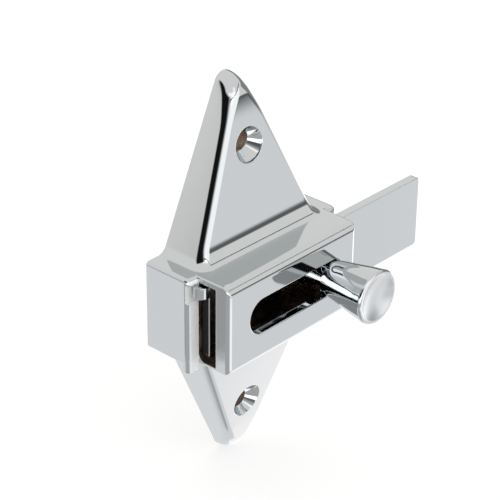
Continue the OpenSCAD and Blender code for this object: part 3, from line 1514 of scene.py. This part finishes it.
@dataclass
class Knob:
    """The flared knob with its dished face.

    Attributes:
        x: Place of its axis.
        seat: Depth where it sits on the bar.
        reach: Depth of its rim.
        rim_r: Radius of the rim.
        edge_r: Radius of the rim's outer edge.
        dish_r: Radius of the dish.
        dish_depth: Depth of the dish.
        bore_r: Radius of the bore for its screw.
        bore_end: Depth where the bore ends.
        flare: Radius and depth of points along its neck and flare.
    """

    x: float = KNOB_X
    seat: float = BAR_FRONT
    reach: float = 36.6
    rim_r: float = 6.85
    edge_r: float = 0.6
    dish_r: float = 5.95
    dish_depth: float = 1.4
    bore_r: float = 2.05
    bore_end: float = 25.4
    flare: tuple[Point, ...] = (
        (4.35, 22.6), (4.42, 23.0), (4.8, 24.4), (5.2, 26.6),
        (5.72, 29.4), (6.28, 32.4), (6.62, 34.6), (6.82, 35.8),
    )

    def build(self, finishes: Finishes) -> bpy.types.Object:
        """Makes the knob and ties it to the frame.

        Args:
            finishes: The materials.

        Returns:
            The knob.
        """
        ball = (self.dish_r**2 + self.dish_depth**2) / (2 * self.dish_depth)
        swing = math.degrees(math.asin(self.dish_r / ball))
        bottom = self.reach - self.dish_depth
        bowl = arc((0, bottom + ball), ball, -90 + swing, -90, steps=14)
        rim = arc((self.rim_r - self.edge_r, self.reach - self.edge_r), self.edge_r, 0, 90, steps=8)
        profile = [
            (0, self.bore_end), (self.bore_r, self.bore_end), (self.bore_r, self.seat),
            (self.flare[0][0], self.seat), *smooth_path(list(self.flare), steps=5), *rim, *bowl[:-1],
            (0, bottom),
        ]
        solid = Solid.turned(profile, x=self.x, z=0, steps=128)

        def in_dish(middle: Vector) -> bool:
            """Whether a face is in the dish."""
            inside = math.hypot(middle.x - self.x, middle.z) < self.dish_r - SLIGHT
            return inside and bottom - SLIGHT < -middle.y < self.reach - SLIGHT

        solid.paint_where(Skin.INNER, in_dish)
        made = solid.piece("knob_turned", [finishes.knob_plate, finishes.knob_dish], crease=40.0)
        declare(made, Body.SLIDE, "knob")
        return made


@dataclass
class KnobScrew:
    """The countersunk screw that holds the knob on the bar.

    Attributes:
        x: Place of its axis.
        head_d: Depth of its head's flat side.
        head_r: Radius of the head.
        head_chamfer: Width of the chamfer round the head.
        head_flat: Height of that chamfer.
        shank_r: Outer radius of the thread.
        length: Length of the screw.
        pitch: Pitch of the thread.
        thread_deep: Depth of the thread.
        thread_start: Plain length below the head.
        plain: Length without thread in all.
        tip: Length and width of the chamfer at the end.
        recess_half: Half of the length of the cross recess.
        recess_wide: Half of its width.
        recess_deep: Its depth.
    """

    x: float = KNOB_X
    head_d: float = 13.9
    head_r: float = 3.8
    head_chamfer: float = 0.15
    head_flat: float = 0.12
    shank_r: float = 2.0
    length: float = 11.0
    pitch: float = 0.7
    thread_deep: float = 0.3
    thread_start: float = 0.6
    plain: float = 1.4
    tip: float = 0.4
    recess_half: float = 2.1
    recess_wide: float = 0.45
    recess_deep: float = 1.3

    def build(self, finishes: Finishes) -> bpy.types.Object:
        """Makes the screw and ties it to the frame.

        Args:
            finishes: The materials.

        Returns:
            The screw.
        """
        end = self.head_d + self.length
        cone = self.head_r - self.shank_r
        neck = self.head_d + cone
        thread = []
        for i in range(int((self.length - cone - self.plain) / self.pitch)):
            crest = neck + self.thread_start + self.pitch * i
            thread += [(self.shank_r, crest), (self.shank_r - self.thread_deep, crest + self.pitch / 2)]
        profile = [
            (0, self.head_d), (self.head_r - self.head_chamfer, self.head_d),
            (self.head_r, self.head_d + self.head_flat), (self.shank_r, neck), *thread,
            (self.shank_r, end - self.tip), (self.shank_r - self.tip, end), (0, end),
        ]
        solid = Solid.turned(profile, x=self.x, z=0, steps=48)
        recess = self.recess_half, self.recess_wide
        tools = [
            Solid.block(
                Vector((self.x - wide, -self.head_d - self.recess_deep, -tall)),
                Vector((self.x + wide, -self.head_d + NEAR, tall)),
            )
            for wide, tall in (recess, reversed(recess))
        ]
        solid.combine(Cut.TAKE, *tools)
        made = solid.piece("knob_screw_turned", [finishes.screw], crease=30.0)
        declare(made, Body.SLIDE, "knob_screw")
        return made


@dataclass
class FrictionSpring:
    """The bowed strip between the front wall and the bar.

    Attributes:
        end: Half of its length.
        foot: Length of each straight foot.
        bar_front: Depth of the bar's front.
        wall_inside: Depth of the front wall's inner side.
        gap: Gap to the bar and to the wall.
        thick: Its thickness.
        wide: Its width.
        low: Height of its lower edge.
        edge_r: Radius of its edges.
        steps: Number of steps in each half of its bow.
    """

    end: float = 20.1
    foot: float = 2.6
    bar_front: float = BAR_FRONT
    wall_inside: float = 20.6
    gap: float = 0.1
    thick: float = 0.5
    wide: float = 4.4
    low: float = 5.425
    edge_r: float = 0.08
    steps: int = 40

    def build(self, finishes: Finishes) -> bpy.types.Object:
        """Makes the spring and ties it to the frame.

        Args:
            finishes: The materials.

        Returns:
            The spring.
        """
        span = self.end - self.foot
        near = self.bar_front + self.gap
        sag = self.wall_inside - self.thick - self.gap - self.bar_front
        radius = (span**2 + sag**2) / (2 * sag)

        def bow(x: float) -> float:
            """Depth of the strip's front at a place."""
            return near + radius - math.sqrt(radius**2 - min(abs(x), span) ** 2)

        middle = [span * i / self.steps for i in range(-self.steps, self.steps + 1)]
        xs = [-self.end, *middle, self.end]
        outline = [(x, bow(x)) for x in xs] + [(-x, bow(x) + self.thick) for x in xs]
        solid = Solid.prism([Vector((x, -d, self.low)) for x, d in outline], Vector((0, 0, self.wide)))
        solid.round_edges(
            lambda a, b: abs(a.z - b.z) < CLOSE and abs(a.x - b.x) > SLIGHT, self.edge_r, steps=2,
        )
        made = solid.piece("spring_strip", [finishes.spring], crease=30.0)
        declare(made, Body.CASE, "friction_spring")
        return made


# Stage


@dataclass(frozen=True)
class Patch:
    """A bright or dark part of the surroundings, as the plate reflects it.

    Attributes:
        colour: Its light.
        left: Left border in degrees. 0 is in front of the object, 90 on its right.
        right: Right border.
        low: Lower border, in degrees above the horizon.
        high: Upper border.
        soft: Widths of its soft borders in degrees: left, right, lower and upper.
    """

    colour: Rgba
    left: float
    right: float
    low: float
    high: float
    soft: tuple[float, float, float, float] = (4.0,) * 4


@dataclass
class Studio:
    """Plain floor, soft studio surroundings and the camera, in metres.

    Attributes:
        floor_z: Height of the floor.
        floor_size: Its length and width.
        floor_colour: Its colour.
        floor_glow: Light that only the camera and reflections see on it.
        ceiling: Light from above the horizon.
        ground: Light from below it.
        patches: Parts of the surroundings, each laid over those before it.
        eye: Place of the camera.
        right: The way that points right in its picture.
        up: The way that points up in its picture.
        lens: Its focal length, in millimetres.
        sensor: Width of its sensor, in millimetres.
        clip: Nearest and furthest that it sees.
    """

    floor_z: float = -0.0512
    floor_size: float = 4.0
    floor_colour: Rgba = grey(0.5)
    floor_glow: float = 0.6
    ceiling: Rgba = (1.0, 0.99, 0.96, 1.0)
    ground: Rgba = grey(1.0)
    patches: tuple[Patch, ...] = (
        Patch(grey(1.5), -46, 34, -50, 33),
        Patch(grey(1.6), -58, 0, 33, 46, (4.0, 6.0, 4.0, 6.0)),
        Patch(grey(2.2), -24, 2, 31, 41),
        Patch((1.43, 1.38, 1.36, 1.0), 62, 125, -75, -20, (10.0, 10.0, 10.0, 6.0)),
        Patch(grey(2.2), 76, 112, -32, -18, (12.0, 12.0, 6.0, 6.0)),
        Patch(grey(0.58), -110, 20, -75, -18, (10.0, 10.0, 10.0, 8.0)),
        Patch(grey(1.5), -8, 36, -34, -30.5, (16.0, 4.0, 2.0, 2.0)),
        Patch(grey(3.0), -64, -22, -12, 7, (4.0, 6.0, 4.0, 4.0)),
        Patch(grey(0.33), 64, 124, -4, 22, (10.0, 6.0, 8.0, 4.0)),
        Patch(grey(0.04), -46, 64, 34.5, 36.5, (1.0, 1.0, 1.0, 1.0)),
        Patch(grey(0.16), 38, 68, -3, 2, (8.0, 6.0, 9.5, 3.0)),
        Patch(grey(0.5), -132.6, -104, -31.9, -6.0, (0.7, 0.7, 0.7, 0.7)),
        Patch(grey(0.01), -118, -64, 8, 40, (13.0, 40.0, 6.0, 5.0)),
    )
    eye: Triple = (-0.28316340, -0.26546350, 0.21840852)
    right: Triple = (0.67543201, -0.73736354, 0.00930615)
    up: Triple = (0.35064106, 0.33224129, 0.87559498)
    lens: float = 134.363
    sensor: float = 36.0
    clip: Point = (0.01, 20.0)

    def floor(self) -> None:
        """Makes the pale floor."""
        bm = bmesh.new()
        bmesh.ops.create_grid(bm, x_segments=1, y_segments=1, size=self.floor_size / 2)
        bmesh.ops.translate(bm, vec=(0, 0, self.floor_z), verts=bm.verts)
        mesh = bpy.data.meshes.new("floor")
        bm.to_mesh(mesh)
        bm.free()
        material, g = new_material("floor_pale")
        g.tree.nodes.remove(g.tree.nodes["Principled BSDF"])
        matt = g.add("ShaderNodeBsdfDiffuse")
        matt.inputs["Color"].default_value = self.floor_colour
        path = g.add("ShaderNodeLightPath")
        seen = g.math("MAXIMUM", path.outputs["Is Camera Ray"], path.outputs["Is Glossy Ray"])
        seen = g.math("MAXIMUM", seen, path.outputs["Is Transmission Ray"])
        glow = g.add("ShaderNodeEmission")
        g.feed(glow.inputs["Strength"], g.math("MULTIPLY", seen, self.floor_glow))
        both = g.add("ShaderNodeAddShader")
        g.feed(both.inputs[0], matt.outputs[0])
        g.feed(both.inputs[1], glow.outputs[0])
        g.feed(g.tree.nodes["Material Output"].inputs["Surface"], both.outputs[0])
        mesh.materials.append(material)
        made = bpy.data.objects.new("floor", mesh)
        made.visible_glossy = False
        bpy.context.scene.collection.objects.link(made)

    @staticmethod
    def _patch_group() -> bpy.types.NodeTree:
        """The node group that lays one patch over the surroundings.

        Returns:
            The node group.
        """
        g, came, goes = new_group(
            "sky_patch",
            {
                "Below": COLOUR, "Colour": COLOUR, "Turn": FLOAT, "Rise": FLOAT, "Left": FLOAT,
                "Right": FLOAT, "Low": FLOAT, "High": FLOAT, "Left Soft": FLOAT, "Right Soft": FLOAT,
                "Low Soft": FLOAT, "High Soft": FLOAT,
            },
            {"Colour": COLOUR},
        )
        mask = None
        for value, near, far in (("Turn", "Left", "Right"), ("Rise", "Low", "High")):
            opens = g.step(came[value], g.math("SUBTRACT", came[near], came[f"{near} Soft"]), came[near])
            shuts = g.step(came[value], came[far], g.math("ADD", came[far], came[f"{far} Soft"]))
            band = g.math("SUBTRACT", opens, shuts, clamp=True)
            mask = band if mask is None else g.math("MULTIPLY", mask, band)
        g.feed(goes["Colour"], g.mix(mask, came["Below"], came["Colour"]))
        return g.tree

    def surroundings(self) -> None:
        """Makes the world: white to the camera, a studio to everything else."""
        world = bpy.data.worlds.new("studio")
        world.use_nodes = True
        bpy.context.scene.world = world
        g = Graph(world.node_tree)
        way = g.add("ShaderNodeTexCoord").outputs["Generated"]
        parts = g.add("ShaderNodeSeparateXYZ")
        g.feed(parts.inputs[0], way)
        x, y, z = parts.outputs
        turn = g.math("DEGREES", g.math("ARCTAN2", x, g.math("MULTIPLY", y, -1.0)))
        rise = g.math("DEGREES", g.math("ARCSINE", z))
        colour = g.mix(g.step(rise, low=-2.0, high=0.0), self.ground, self.ceiling)
        patch_tree = self._patch_group()
        for patch in self.patches:
            left, right, low, high = patch.soft
            colour = g.group(
                patch_tree, Below=colour, Colour=patch.colour, Turn=turn, Rise=rise, Left=patch.left,
                Right=patch.right, Low=patch.low, High=patch.high, Left_Soft=left, Right_Soft=right,
                Low_Soft=low, High_Soft=high,
            ).outputs["Colour"]
        path = g.add("ShaderNodeLightPath")
        seen = g.mix(path.outputs["Is Camera Ray"], colour, grey(1.0))
        background = g.tree.nodes["Background"]
        background.inputs["Strength"].default_value = 1.0
        g.feed(background.inputs["Color"], seen)

    def camera(self) -> None:
        """Makes the camera that stands where the photograph was taken."""
        data = bpy.data.cameras.new("camera")
        data.lens, data.sensor_width = self.lens, self.sensor
        data.clip_start, data.clip_end = self.clip
        made = bpy.data.objects.new("camera", data)
        bpy.context.scene.collection.objects.link(made)
        right, up = Vector(self.right), Vector(self.up)
        turn = Matrix((right, up, right.cross(up).normalized())).transposed().to_4x4()
        made.matrix_world = Matrix.Translation(self.eye) @ turn
        bpy.context.scene.camera = made

    def build(self) -> None:
        """Sets the stage."""
        self.floor()
        self.surroundings()
        self.camera()
        bpy.context.scene.view_settings.view_transform = "Standard"


def main() -> None:
    """Builds the latch and its stage."""
    logging.basicConfig(level=logging.INFO, format="%(name)s: %(message)s")
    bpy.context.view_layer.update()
    finishes = Finishes.build()
    for piece in (Casting(), SlideBar(), Knob(), KnobScrew(), FrictionSpring()):
        piece.build(finishes)
    Studio().build()


if __name__ == "__main__":
    main()
